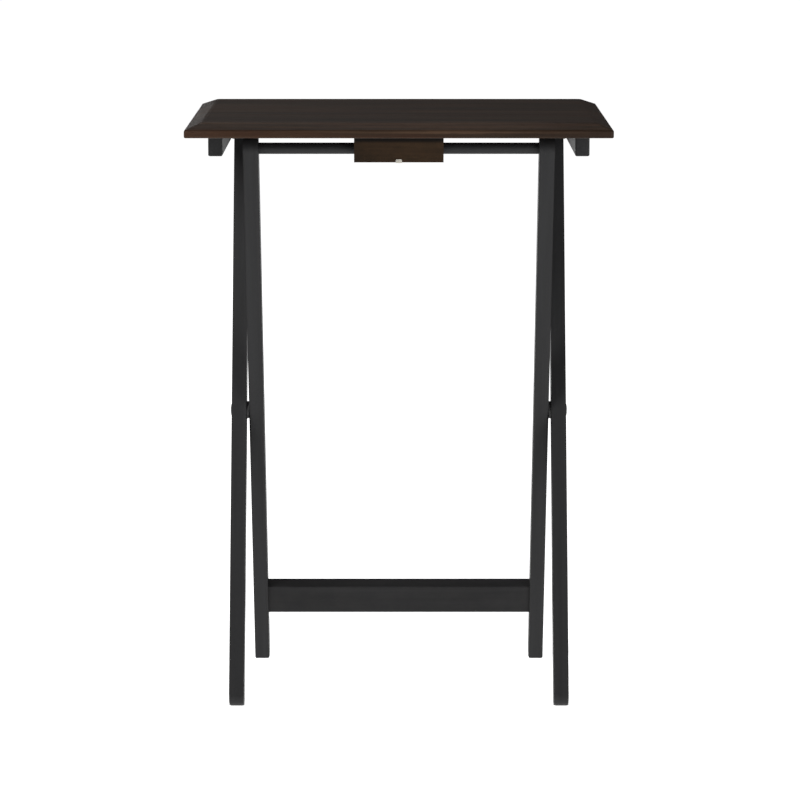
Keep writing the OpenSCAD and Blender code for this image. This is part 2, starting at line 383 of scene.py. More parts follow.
def walnut_finish(name, base, stave_width, shift=(0, 0, 0), painted_shadow_above=None):
    """Dark stained walnut with the grain along X: staves, growth bands, pores and rubbed edges.

    Where a height for the painted shadow is given, the wood turns almost black within the painted
    shadow's fade length above that height: painted shadow, not the wood's own colour.
    """
    material, tree, shader = new_material(name)
    coordinates = tree.nodes.new("ShaderNodeTexCoord")
    parts = tree.nodes.new("ShaderNodeSeparateXYZ")
    tree.links.new(coordinates.outputs["Object"], parts.inputs[0])

    # each stave of the glued-up board has its own tone and its own pith
    stave = calc(tree, "FLOOR", calc(tree, "DIVIDE", parts.outputs["Y"], stave_width))
    pick = tree.nodes.new("ShaderNodeTexWhiteNoise")
    pick.noise_dimensions = "1D"
    tree.links.new(stave, pick.inputs["W"])
    stave_tone = spread(tree, pick.outputs["Value"], 0.0, 1.0, 0.86, 1.16)

    # growth bands: distance from a pith that lies below the board and wanders along it
    wander = noise(tree, object_points(tree, (2.6, 8.0, 8.0), 0.0, shift), 3.0, 0.5)
    offset = calc(tree, "MULTIPLY_ADD", pick.outputs["Value"], 0.05, -0.02)
    across = calc(tree, "ADD", calc(tree, "PINGPONG", parts.outputs["Y"], stave_width), offset)
    across = calc(tree, "MULTIPLY_ADD", wander, 0.05, across)
    height = calc(tree, "SUBTRACT", parts.outputs["Z"], TOP_Z - 0.045)
    radius = calc(tree, "SQRT", calc(tree, "ADD", calc(tree, "MULTIPLY", across, across),
                                     calc(tree, "MULTIPLY", height, height)))
    rings = calc(tree, "SINE", calc(tree, "MULTIPLY", radius, 900.0))
    ring_share = spread(tree, rings, -1.0, 1.0, 0.0, 1.0)

    broad = noise(tree, object_points(tree, (2.2, 26.0, 60.0), 0.0, shift), 3.0, 0.55)
    streaks = noise(tree, object_points(tree, (9.0, 190.0, 330.0), 0.0, shift), 4.0, 0.6)
    pores = noise(tree, object_points(tree, (60.0, 1500.0, 1500.0), 0.0, shift), 2.0, 0.5)
    pore_mask = spread(tree, pores, 0.60, 0.72, 0.0, 1.0)

    tone = calc(tree, "MULTIPLY_ADD", streaks, 0.55, calc(tree, "MULTIPLY", ring_share, 0.09))
    tone = calc(tree, "MULTIPLY_ADD", broad, 0.75, tone)
    stops = [(0.44, shade(base, 0.36)), (0.68, shade(base, 0.86)), (0.96, shade(base, 2.3))]
    colour = ramp(tree, tone, stops)
    redder = (base[0] * 1.35, base[1] * 0.95, base[2] * 0.80, 1.0)
    warm = noise(tree, object_points(tree, (5.0, 40.0, 80.0), 0.0, shift), 2.0, 0.5)
    colour = blend(tree, spread(tree, warm, 0.45, 0.65, 0.0, 0.5), colour, redder)
    toned = tree.nodes.new("ShaderNodeHueSaturation")
    tree.links.new(colour, toned.inputs["Color"])
    tree.links.new(stave_tone, toned.inputs["Value"])
    pore_share = calc(tree, "MULTIPLY", pore_mask, 0.55)
    colour = blend(tree, pore_share, toned.outputs["Color"], shade(base, 0.25))
    wear = worn_edges(tree, object_points(tree, (60.0, 60.0, 60.0)), 0.53, 0.62)
    rubbed = (base[0] * 2.6, base[1] * 2.3, base[2] * 2.0, 1.0)
    colour = blend(tree, calc(tree, "MULTIPLY", wear, 0.45), colour, rubbed)
    # painted shadow of the tray above: the wood darkens to almost black over the fade length above the
    # given height
    if painted_shadow_above is not None:
        share = spread(tree, parts.outputs["Z"], painted_shadow_above, painted_shadow_above + PAINTED_SHADOW_FADE, 0.0, 0.92)
        colour = blend(tree, share, colour, shade(base, 0.12))
    tree.links.new(colour, shader.inputs["Base Color"])

    gloss = calc(tree, "MULTIPLY_ADD", streaks, 0.22, 0.30)
    tree.links.new(calc(tree, "MULTIPLY_ADD", pore_mask, 0.15, gloss), shader.inputs["Roughness"])
    shader.inputs["Specular IOR Level"].default_value = 0.09
    height_map = calc(tree, "SUBTRACT", calc(tree, "MULTIPLY", streaks, 0.35), pore_mask)
    relief(tree, shader, height_map, 0.35, 0.00012)
    return material


def black_finish(name, base, along, lean, shine):
    """Satin black paint over wood, with faint grain along one axis of the leaning piece."""
    material, tree, shader = new_material(name)
    fine = [420.0] * 3
    fine[along] = 14.0
    long_way = [110.0] * 3
    long_way[along] = 4.0
    grain = noise(tree, object_points(tree, fine, lean), 4.0, 0.55)
    bands = noise(tree, object_points(tree, long_way, lean), 3.0, 0.5, 0.3)
    spots = noise(tree, object_points(tree, (900.0, 900.0, 900.0)), 2.0, 0.5)
    stops = [(0.30, shade(base, 0.84)), (0.52, shade(base, 1.0)), (0.74, shade(base, 1.20))]
    colour = ramp(tree, bands, stops)
    wear = worn_edges(tree, object_points(tree, (45.0, 45.0, 45.0)), 0.54, 0.66)
    rubbed = (base[0] * 2.1 + 0.01, base[1] * 2.0 + 0.008, base[2] * 1.9 + 0.006, 1.0)
    colour = blend(tree, calc(tree, "MULTIPLY", wear, 0.35), colour, rubbed)
    tree.links.new(colour, shader.inputs["Base Color"])
    gloss = calc(tree, "MULTIPLY_ADD", grain, 0.14, 0.40)
    tree.links.new(calc(tree, "MULTIPLY_ADD", spots, 0.06, gloss), shader.inputs["Roughness"])
    shader.inputs["Specular IOR Level"].default_value = shine
    height = calc(tree, "ADD", calc(tree, "MULTIPLY", grain, 0.7), calc(tree, "MULTIPLY", spots, 0.3))
    relief(tree, shader, height, 0.22, 0.00010)
    return material


def metal_finish(name, base, rough, scratch_axis):
    """Plated or painted steel with fine drawing marks along one axis."""
    material, tree, shader = new_material(name)
    scale = [2600.0] * 3
    scale[scratch_axis] = 130.0
    marks = noise(tree, object_points(tree, tuple(scale)), 3.0, 0.6)
    clouds = noise(tree, object_points(tree, (220.0, 220.0, 220.0)), 3.0, 0.6)
    colour = ramp(tree, clouds, [(0.3, shade(base, 0.80)), (0.7, shade(base, 1.12))])
    tree.links.new(colour, shader.inputs["Base Color"])
    shader.inputs["Metallic"].default_value = 1.0
    tree.links.new(calc(tree, "MULTIPLY_ADD", marks, 0.20, rough), shader.inputs["Roughness"])
    relief(tree, shader, marks, 0.15, 0.00004)
    return material


def nylon_finish(name, base):
    """Moulded nylon with a fine even grain."""
    material, tree, shader = new_material(name)
    grain = noise(tree, object_points(tree, (1400.0, 1400.0, 1400.0)), 3.0, 0.6)
    cloud = noise(tree, object_points(tree, (90.0, 90.0, 90.0)), 2.0, 0.5)
    colour = ramp(tree, cloud, [(0.3, shade(base, 0.85)), (0.7, shade(base, 1.15))])
    tree.links.new(colour, shader.inputs["Base Color"])
    tree.links.new(calc(tree, "MULTIPLY_ADD", grain, 0.18, 0.42), shader.inputs["Roughness"])
    relief(tree, shader, grain, 0.2, 0.00005)
    return material


def bare_wood_finish(name, base):
    """Plain beech for the pins inside the joints, with the grain along X."""
    material, tree, shader = new_material(name)
    streaks = noise(tree, object_points(tree, (25.0, 500.0, 500.0)), 4.0, 0.6)
    colour = ramp(tree, streaks, [(0.3, shade(base, 0.75)), (0.7, shade(base, 1.15))])
    tree.links.new(colour, shader.inputs["Base Color"])
    tree.links.new(calc(tree, "MULTIPLY_ADD", streaks, 0.15, 0.55), shader.inputs["Roughness"])
    relief(tree, shader, streaks, 0.3, 0.0001)
    return material


def kept(name, make, *values):
    """Makes a finish once and then reuses it."""
    name = "finish_" + name
    return bpy.data.materials.get(name) or make(name, *values)


# ---------------------------------------------------------------- sizes and colours

def length(name, description, millimetres, low, high):
    """A length property with its default given in millimetres."""
    return bpy.props.FloatProperty(name=name, description=description, default=millimetres * MM,
                                   min=low * MM, max=high * MM, unit="LENGTH", precision=5)


def paint(name, description, colour):
    """A colour property."""
    return bpy.props.FloatVectorProperty(name=name, description=description, default=colour,
                                         min=0.0, max=1.0, subtype="COLOR", size=3)


class TrayTableSizes(bpy.types.PropertyGroup):
    """Bevels and rounded edges of the visible pieces."""

    edge_height: length("Tray edge height", "Height of the tray's plain vertical edge", 8.6, 4, 11)
    bevel_width: length("Tray bevel width", "Width of the bevel around the top face", 19.5, 6, 22)
    tray_corner: length("Tray corner radius", "Rounding of the tray's upright corners", 3.2, 0.5, 8)
    tray_soft: length("Tray bevel softness", "Rounding where the bevel meets the top face", 2.6, 0.3, 5)
    tray_arris: length("Tray edge rounding", "Rounding of the tray's lower and side edges", 1.7, 0.2, 3)
    leg_round: length("Leg edge radius", "Rounding of the legs' long edges", 2.3, 0.5, 5)
    toe_radius: length("Toe radius", "Rounding of the front of each foot", 11.0, 4, 12)
    rail_round: length("Rail edge radius", "Rounding of the stretcher and cleats", 1.8, 0.5, 4)
    block_round: length("Catch block rounding", "Rounding of the catch block's edges", 0.9, 0.3, 3)
    dowel_end: length("Dowel end chamfer", "Chamfer on the ends of the dowels", 0.8, 0.2, 2)


class TrayTableColours(bpy.types.PropertyGroup):
    """Colours of the finishes."""

    walnut: paint("Walnut", "Stained walnut of the tray", (0.0250, 0.0142, 0.0084))
    # the catch block's walnut is a darker copy of the tray's: painted shade for its place under the tray
    walnut_block: paint("Walnut block", "Stained walnut of the catch block", (0.0150, 0.0087, 0.0042))
    black: paint("Black paint", "Satin black of the legs, dowels and cleats", (0.0120, 0.0120, 0.0126))
    zinc: paint("Zinc plating", "Screws and nail", (0.55, 0.54, 0.51))
    clip: paint("Clip steel", "Bright spring steel of the catch clip", (0.40, 0.38, 0.34))
    bolt: paint("Bolt steel", "Blackened steel of the pivot bolts", (0.07, 0.07, 0.072))
    brass: paint("Insert brass", "Threaded inserts", (0.70, 0.55, 0.28))
    nylon: paint("Nylon", "Washers at the pivots and hinges", (0.045, 0.045, 0.046))
    beech: paint("Beech", "Wooden pins of the stretcher", (0.45, 0.32, 0.19))


class TrayTableStudio(bpy.types.PropertyGroup):
    """Floor, lights and camera."""

    key: bpy.props.FloatProperty(name="Key light", description="Power of the left front light",
                                 default=76.0, min=0.0, max=2000.0, unit="POWER")
    fill: bpy.props.FloatProperty(name="Fill light", description="Power of the right front light",
                                  default=60.0, min=0.0, max=2000.0, unit="POWER")
    top: bpy.props.FloatProperty(name="Top light", description="Power of the high light behind the table",
                                 default=4.0, min=0.0, max=2000.0, unit="POWER")
    rim: bpy.props.FloatProperty(name="Rim light", description="Power of the left rear light",
                                 default=28.0, min=0.0, max=2000.0, unit="POWER")
    room: bpy.props.FloatProperty(name="Room light", description="Brightness of the grey room",
                                  default=0.08, min=0.0, max=5.0)
    glow: bpy.props.FloatProperty(name="Floor glow", description="Light given off by the pale floor",
                                  default=0.95, min=0.0, max=5.0)
    distance: bpy.props.FloatProperty(name="Camera distance",
                                      description="Distance in front of the table's middle",
                                      default=4.0538, min=1.0, max=20.0, unit="LENGTH")
    height: bpy.props.FloatProperty(name="Camera height",
                                    description="Height of the camera above the floor",
                                    default=0.9974, min=0.0, max=5.0, unit="LENGTH")
    pitch: bpy.props.FloatProperty(name="Camera pitch", description="Angle that the camera looks down",
                                   default=0.1626, min=0.0, max=1.5, subtype="ANGLE")
    focal: bpy.props.FloatProperty(name="Focal length",
                                   description="Lens length for a 36 mm wide picture",
                                   default=159.71, min=10.0, max=500.0, unit="CAMERA")


def sizes():
    """The sizes set in the panel."""
    return bpy.context.scene.tray_table_sizes


def colours():
    """The colours set in the panel."""
    return bpy.context.scene.tray_table_colours


def black_wood(along, lean=0.0, shine=LEG_SHINE):
    """The black finish with its grain along one axis of a piece that leans back or forward."""
    name = "black_wood_" + "xyz"[along] + ("" if lean == 0.0 else "_back" if lean > 0.0 else "_front")
    return kept(name, black_finish, colours().black, along, lean, shine)


def zinc_plating():
    """The finish of the screws and the nail."""
    return kept("zinc", metal_finish, colours().zinc, 0.28, 2)


def set_in_place(piece, matrix):
    """Moves a piece's mesh, so that its object stays at the origin like the frame's own nodes."""
    piece.data.transform(matrix)
    piece.data.update()


# ---------------------------------------------------------------- tray

def build_tray_top():
    """The slab: flat top, wide bevel with mitred corners, plain edge with rounded upright corners."""
    s = sizes()
    (x0, x1), (y0, y1) = span("tray_top", 0), span("tray_top", 1)
    levels = [(UNDER_Z, 0.0), (UNDER_Z + s.edge_height, 0.0), (TOP_Z, s.bevel_width)]
    bm = bmesh.new()
    weight = bm.edges.layers.float.new("bevel_weight_edge")
    rings = []
    for z, inset in levels:
        corners = rectangle(x0 + inset, x1 - inset, y0 + inset, y1 - inset)
        rings.append([bm.verts.new((x, y, z)) for x, y in corners])
    bm.faces.new(rings[0][::-1])
    bm.faces.new(rings[2])
    for a, b in zip(rings, rings[1:]):
        for k in range(4):
            j = (k + 1) % 4
            bm.faces.new((a[k], a[j], b[j], b[k]))
    widest = max(s.tray_corner, s.tray_soft)
    for edge in bm.edges:
        heights = sorted(round(v.co.z, 6) for v in edge.verts)
        if heights[0] != heights[1]:
            upright = heights[1] < TOP_Z - MM
            radius = s.tray_corner if upright else s.tray_soft
        else:
            radius = s.tray_soft if heights[0] > TOP_Z - MM else s.tray_arris
        edge[weight] = radius / widest
    piece = finish_mesh(bm, "walnut_tray_top")
    modifier = piece.modifiers.new("rounding", "BEVEL")
    modifier.limit_method = "WEIGHT"
    modifier.width = widest
    modifier.segments = 4
    for edge in piece.data.edges:
        edge.use_edge_sharp = False
    even_normals(piece)
    material = kept("walnut_tray", walnut_finish, colours().walnut, STAVE_WIDTH)
    join_rules(piece, "tray", ["tray_top"], material)


def screw_cutter(place, start):
    """A cutter for one screw: the given start, then the cone of the head and the shank's hole."""
    bm = bmesh.new()
    lathe(bm, start + [(SCREW_CONE, SCREW_BORE), (SCREW_DRILL, SCREW_BORE)], Matrix.Translation(place))
    return finish_mesh(bm, "cutter")


def build_cleat(side):
    """One rail under the tray, with a blind hinge bore and three screw pockets."""
    node = "cleat_" + side
    (x0, x1), (y0, y1), (z0, z1) = (span(node, k) for k in range(3))
    bm = bmesh.new()
    prism(bm, rectangle(y0, y1, z0, z1), x0, x1)
    lower = [e for e in bm.edges if min(v.co.z for v in e.verts) < z1 - MM]
    round_edges(bm, lower, sizes().rail_round)
    piece = finish_mesh(bm, "black_cleat_" + side)
    pin_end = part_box("rear_dowel")[1].x
    inner = min(abs(x0), abs(x1))
    sign = -1 if side == "left" else 1
    ends = sorted((sign * (inner - CUT_PAST), sign * (pin_end + SIDE_GAP)))
    cutters = [drill(HINGE_BORE, ends[0], ends[1], HINGE.y, HINGE.z)]
    for place in screw_places("cleat_screws"):
        if place.x * sign > 0:
            cutters.append(screw_cutter(place, [(-8 * MM, 4.5 * MM), (0.0, 4.5 * MM), (0.0, 4.02 * MM)]))
    carve(piece, cutters)
    even_normals(piece)
    join_rules(piece, "tray", [node], black_wood(1))


def screw_places(node):
    """Middle of each screw head's face, from the separate shells of the CAD node.

    Shells whose middles are less than SAME_SCREW apart count as one screw.
    """
    bm = bmesh.new()
    bm.from_mesh(frame["nodes"][node].data)
    bm.verts.ensure_lookup_table()
    seen, places = set(), []
    for start in bm.verts:
        if start in seen:
            continue
        stack, shell = [start], []
        while stack:
            vert = stack.pop()
            if vert in seen:
                continue
            seen.add(vert)
            shell.append(vert.co.copy())
            stack.extend(edge.other_vert(vert) for edge in vert.link_edges)
        low = Vector(min(p[k] for p in shell) for k in range(3))
        high = Vector(max(p[k] for p in shell) for k in range(3))
        places.append(((low + high) / 2, low, high))
    bm.free()
    merged = []
    for middle, low, high in places:
        near = [m for m in merged if max(abs(m[0] - middle.x), abs(m[1] - middle.y)) < SAME_SCREW]
        if near:
            near[0][2] = min(near[0][2], low.z)
        else:
            merged.append([middle.x, middle.y, low.z])
    return [Vector(m) for m in merged]


def build_screws(node, name):
    """Flat-head wood screws with a cross recess, pointing up."""
    low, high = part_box(node)
    tall = high.z - low.z
    bm = bmesh.new()
    for place in screw_places(node):
        profile = [(0.0, 3.7 * MM), (0.25 * MM, SCREW_HEAD), (SCREW_CONE, 2.05 * MM)]
        profile += [(3.0 * MM, 1.9 * MM), (tall - 4 * MM, 1.9 * MM), (tall, 0.2 * MM)]
        lathe(bm, profile, Matrix.Translation(place))
    piece = finish_mesh(bm, name)
    bm = bmesh.new()
    for place in screw_places(node):
        for turn in (0.35, 0.35 + math.pi / 2):
            cross = bmesh.ops.create_cube(bm, size=1.0)["verts"]
            bmesh.ops.scale(bm, verts=cross, vec=(4.2 * MM, 0.85 * MM, 2.6 * MM))
            for vert in cross:
                if vert.co.z > 0:
                    vert.co.x *= 0.35
            bmesh.ops.rotate(bm, verts=cross, cent=(0, 0, 0), matrix=Matrix.Rotation(turn, 3, "Z"))
            bmesh.ops.translate(bm, verts=cross, vec=place)
    cutter = bpy.data.objects.new("cutter", bpy.data.meshes.new("cutter"))
    bm.to_mesh(cutter.data)
    bm.free()
    bpy.context.scene.collection.objects.link(cutter)
    modifier = piece.modifiers.new("cut", "BOOLEAN")
    modifier.use_self = True
    modifier.object = cutter
    modifier.operation = "DIFFERENCE"
    bpy.context.view_layer.update()
    cut = bpy.data.meshes.new_from_object(piece.evaluated_get(bpy.context.evaluated_depsgraph_get()))
    piece.modifiers.clear()
    piece.data = cut
    bpy.data.objects.remove(cutter)
    join_rules(piece, "tray", [node], zinc_plating())


# ---------------------------------------------------------------- catch

def build_catch_block():
    """Walnut block: a stop wall in front of the front dowel, and a roof just above it."""
    (x0, x1), (y0, y1), (z0, z1) = (span("catch_block", k) for k in range(3))
    stop = span("catch_clip", 1)[1] - CLIP_THICK
    roof = span("front_dowel", 2)[1] + CATCH_GAP
    corner = 3.5 * MM
    outline = [(y0, z0), (stop, z0), (stop, roof - corner)]
    outline += arc((stop + corner, roof - corner), corner, 180, 90, 5)[1:]
    outline += [(y1, roof), (y1, z1), (y0, z1)]
    bm = bmesh.new()
    prism(bm, outline, x0, x1)
    outer = [e for e in bm.edges if e.calc_face_angle(0.0) > 1.0 and e.is_convex]
    lower = [e for e in outer if min(v.co.z for v in e.verts) < z1 - MM]
    round_edges(bm, lower, sizes().block_round)
    piece = finish_mesh(bm, "walnut_catch_block")
    cutters = []
    for place in screw_places("catch_block_screws"):
        cutters.append(screw_cutter(place, [(-3 * MM, 4.05 * MM), (0.0, 4.05 * MM)]))
    carve(piece, cutters)
    even_normals(piece)
    # painted shadow: a dark line runs along the block just below the tray
    # the block's darker walnut is painted shade of the tray above it
    tone = colours().walnut_block
    grain_shift = (0.3, 0.7, 0.2)
    material = kept("walnut_block", walnut_finish, tone, BLOCK_STAVE, grain_shift, UNDER_Z - PAINTED_SHADOW_DROP)
    join_rules(piece, "tray", ["catch_block"], material)


def build_catch_clip():
    """Spring steel strip with round bends: it lines the stop wall and turns up at the front."""
    (x0, x1), (y0, y1), (z0, z1) = (span("catch_clip", k) for k in range(3))
    bend = 2 * CLIP_THICK
    tab = z0 + CLIP_TAB
    outer = [(y1, z1)] + [(y1, z0 + bend)] + arc((y1 - bend, z0 + bend), bend, 0, -90, 5)
    outer += arc((y0 + bend, z0 + bend), bend, -90, -180, 5) + [(y0, tab)]
    inner_bend = bend - CLIP_THICK
    inner = [(y0 + CLIP_THICK, tab)] + arc((y0 + bend, z0 + bend), inner_bend, -180, -90, 5)
    inner += arc((y1 - bend, z0 + bend), inner_bend, -90, 0, 5) + [(y1 - CLIP_THICK, z1)]
    bm = bmesh.new()
    prism(bm, outer + inner, x0, x1)
    corners = [e for e in bm.edges if all(abs(v.co.z - tab) < 1e-7 for v in e.verts)
               and abs(e.verts[0].co.x - e.verts[1].co.x) < 1e-7]
    round_edges(bm, corners, 1.5 * MM, 5)
    piece = finish_mesh(bm, "steel_catch_clip")
    material = kept("clip_steel", metal_finish, colours().clip, 0.30, 2)
    join_rules(piece, "tray", ["catch_clip"], material)

    low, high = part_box("catch_clip_nail")
    bm = bmesh.new()
    middle = (low + high) / 2
    radius = (high.x - low.x) / 2
    tall = high.z - low.z
    shank = 0.8 * MM
    under_head = 0.8 * MM
    profile = [(0.0, 0.0), (0.12 * MM, radius * 0.55), (0.35 * MM, radius * 0.9), (0.6 * MM, radius)]
    profile += [(under_head, radius), (under_head, shank), (tall - 1.5 * MM, shank), (tall, 0.0)]
    lathe(bm, profile, Matrix.Translation((middle.x, middle.y, low.z)), steps=32)
    nail = finish_mesh(bm, "steel_clip_nail")
    join_rules(nail, "tray", ["catch_clip_nail"], zinc_plating())


# ---------------------------------------------------------------- legs

def leg_outline(foot_steps=8, top_steps=20):
    """Side outline of an outer leg in its own frame: Z runs up from the pivot, -Y is its front."""
    r, toe = LEG_HALF, sizes().toe_radius
    sin, cos = math.sin(LEAN), math.cos(LEAN)
    toe_y = toe - r
    toe_z = (toe - PIVOT.z + toe_y * sin) / cos
    heel_z = (r * sin - PIVOT.z) / cos
    points = arc((0.0, LEG_UP), r, 0, 180, top_steps)
    points += arc((toe_y, toe_z), toe, 180, 270 + math.degrees(LEAN), foot_steps)
    points.append((r, heel_z))
    return points


def insert_tail():
    """How far from the middle the threaded inserts and the bolts in them end."""
    return span("pivot_inserts", 0)[1] - INSERT_LENGTH


def build_leg(node, body, holes):
    """One straight leg with rounded edges. Holes are (radius, from X, to X, distance up the leg)."""
    x0, x1 = span(node, 0)
    inner = body == "inner_frame"
    outline = leg_outline()
    if inner:
        outline = [(-y, z) for y, z in outline][::-1]
    middle = (x0 + x1) / 2
    bm = bmesh.new()
    ends = prism(bm, outline, x0 - middle, x1 - middle)
    round_edges(bm, ends, sizes().leg_round)
    crossing = [e for e in bm.edges if abs(e.verts[0].co.x + e.verts[1].co.x) < 1e-6]
    heel = [e for e in crossing if e.calc_face_angle(0.0) > 1.0]
    round_edges(bm, heel, HEEL_ROUND)
    piece = finish_mesh(bm, "black_" + node)
    turn = LEAN if inner else -LEAN
    cutters = []
    for radius, a, b, along in holes:
        low, high = sorted((a - middle, b - middle))
        cutters.append(drill(radius, low, high, 0.0, along))
    carve(piece, cutters)
    even_normals(piece)
    set_in_place(piece, Matrix.Translation((middle, PIVOT.y, PIVOT.z)) @ Matrix.Rotation(turn, 4, "X"))
    join_rules(piece, body, [node], black_wood(2, -turn))


def build_legs():
    """Two outer legs with through holes and two inner legs with blind ones."""
    for side, sign in (("left", -1), ("right", 1)):
        near, far = sorted(abs(x) for x in span("outer_leg_" + side, 0))
        start, end = sign * (near - CUT_PAST), sign * (far + CUT_PAST)
        holes = [(DOWEL_BORE, start, end, LEG_UP), (BOLT_BORE, start, end, 0.0)]
        build_leg("outer_leg_" + side, "outer_frame", holes)
        near, far = sorted(abs(x) for x in span("inner_leg_" + side, 0))
        start, end = sign * (near - CUT_PAST), sign * (far + CUT_PAST)
        holes = [(DOWEL_BORE, start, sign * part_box("front_dowel")[1].x, LEG_UP),
                 (INSERT_BORE, sign * insert_tail(), end, 0.0)]
        build_leg("inner_leg_" + side, "inner_frame", holes)


def build_stretcher():
    """Flat rail between the inner legs, in line with them."""
    x0, x1 = span("stretcher", 0)
    low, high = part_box("stretcher")
    middle = (low + high) / 2
    sin, cos = math.sin(LEAN), math.cos(LEAN)
    tall, deep = high.z - low.z, high.y - low.y
    wide = (tall * cos - deep * sin) / (cos * cos - sin * sin)
    thick = (deep * cos - tall * sin) / (cos * cos - sin * sin)
    bm = bmesh.new()
    prism(bm, rectangle(-thick / 2, thick / 2, -wide / 2, wide / 2), x0, x1)
    long_edges = [e for e in bm.edges if abs(e.verts[0].co.x - e.verts[1].co.x) > MM]
    round_edges(bm, long_edges, sizes().rail_round, 4)
    piece = finish_mesh(bm, "black_stretcher")
    even_normals(piece)
    set_in_place(piece, Matrix.Translation(middle) @ Matrix.Rotation(LEAN, 4, "X"))
    join_rules(piece, "inner_frame", ["stretcher"], black_wood(0, -LEAN, STRETCHER_SHINE))


def build_dowels():
    """Front dowel, and rear dowel with thinner ends that are the hinge pins."""
    c = sizes().dowel_end
    low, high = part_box("front_dowel")
    radius = (high.z - low.z) / 2
    half = high.x
    bm = bmesh.new()
    profile = [(-half, radius - c), (c - half, radius), (-half / 2, radius), (0.0, radius)]
    profile += [(-along, size) for along, size in profile[-2::-1]]
    lathe(bm, profile, along_x(0, FRONT_AXIS.y, FRONT_AXIS.z))
    piece = finish_mesh(bm, "black_front_dowel")
    join_rules(piece, "inner_frame", ["front_dowel"], black_wood(0))
    low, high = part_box("rear_dowel")
    radius, half = (high.z - low.z) / 2, high.x
    shoulder = max(abs(x) for x in span("outer_leg_left", 0))
    step = 0.3 * MM
    bm = bmesh.new()
    profile = [(-half, HINGE_PIN - c), (c - half, HINGE_PIN), (-shoulder, HINGE_PIN)]
    profile += [(-shoulder, radius - step), (step - shoulder, radius)]
    profile += [(-shoulder / 2, radius), (0.0, radius)]
    profile += [(-along, size) for along, size in profile[-2::-1]]
    lathe(bm, profile, along_x(0, HINGE.y, HINGE.z))
    piece = finish_mesh(bm, "black_rear_dowel")
    join_rules(piece, "outer_frame", ["rear_dowel"], black_wood(0))


# ---------------------------------------------------------------- metal and nylon

def build_pivot_bolts():
    """Domed furniture bolts with a hex socket in the head."""
    low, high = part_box("pivot_bolts")
    leg_face = max(abs(x) for x in span("outer_leg_right", 0))
    head, rim = high.x, 0.35 * MM
    face = leg_face + SIDE_GAP
    radius = (high.z - low.z) / 2
    tall = head - face
    tail = insert_tail()
    bm = bmesh.new()
    for turn in (0.0, math.pi):
        profile = [(tail, 2.4 * MM), (tail + 0.6 * MM, BOLT_SHANK), (face, BOLT_SHANK)]
        profile += [(face, radius - 0.15 * MM), (face + 0.12 * MM, radius), (face + rim, radius)]
        for k in range(1, DOME_STEPS):
            bend = k / DOME_STEPS * math.pi / 2
            profile.append((face + rim + (tall - rim) * math.sin(bend), radius * math.cos(bend)))
        profile.append((head, 0.0))
        lathe(bm, profile, Matrix.Rotation(turn, 4, "Z") @ along_x(0, 0, PIVOT.z))
    piece = finish_mesh(bm, "black_pivot_bolts", 30.0)
    cutters = []
    for sign in (-1, 1):
        bm = bmesh.new()
        start, end = sorted((sign * (face - 0.9 * MM), sign * (head + CUT_PAST)))
        lathe(bm, [(0.0, HEX_CORNER), (end - start, HEX_CORNER)], along_x(start, 0, PIVOT.z), steps=6)
        cutters.append(finish_mesh(bm, "cutter"))
    carve(piece, cutters)
    material = kept("bolt_steel", metal_finish, colours().bolt, 0.34, 0)
    join_rules(piece, "inner_frame", ["pivot_bolts"], material)


def washer_profile(a, b, hole, radius):
    """Cross section of a washer with small chamfers."""
    c = 0.3 * MM
    outside = [(a, hole + c), (a, radius - c), (a + c, radius), (b - c, radius), (b, radius - c)]
    return outside + [(b, hole + c), (b - c, hole), (a + c, hole)]


def build_washers():
    """Nylon washers between the legs, and between the outer legs and the cleats."""
    nylon = kept("nylon", nylon_finish, colours().nylon)
    low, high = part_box("pivot_washers")
    inner = max(abs(x) for x in span("inner_leg_right", 0)) + SIDE_GAP
    bm = bmesh.new()
    for turn in (0.0, math.pi):
        lathe(bm, washer_profile(inner, high.x, BOLT_BORE, (high.z - low.z) / 2),
              Matrix.Rotation(turn, 4, "Z") @ along_x(0, 0, PIVOT.z), closed=True)
    piece = finish_mesh(bm, "nylon_pivot_washers")
    join_rules(piece, "inner_frame", ["pivot_washers"], nylon)
    for side in ("left", "right"):
        node = "hinge_washer_" + side
        low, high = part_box(node)
        bm = bmesh.new()
        profile = washer_profile(low.x, high.x, HINGE_BORE, (high.z - low.z) / 2)
        lathe(bm, profile, along_x(0, HINGE.y, HINGE.z), closed=True)
        piece = finish_mesh(bm, "nylon_hinge_washer_" + side)
        join_rules(piece, "outer_frame", [node], nylon)


def dress_hidden_fixings():
    """Materials for the frame's own solids inside the joints, which keep their shape."""
    c = colours()
    brass = kept("brass", metal_finish, c.brass, 0.25, 0)
    beech = kept("beech", bare_wood_finish, c.beech)
    painted = black_wood(0)
    fixings = {"rear_dowel_brads": painted, "front_dowel_brads": painted,
               "pivot_inserts": brass, "stretcher_pins": beech}
    for node, material in fixings.items():
        for slot in frame["nodes"][node].material_slots:
            slot.material = material


# ---------------------------------------------------------------- studio

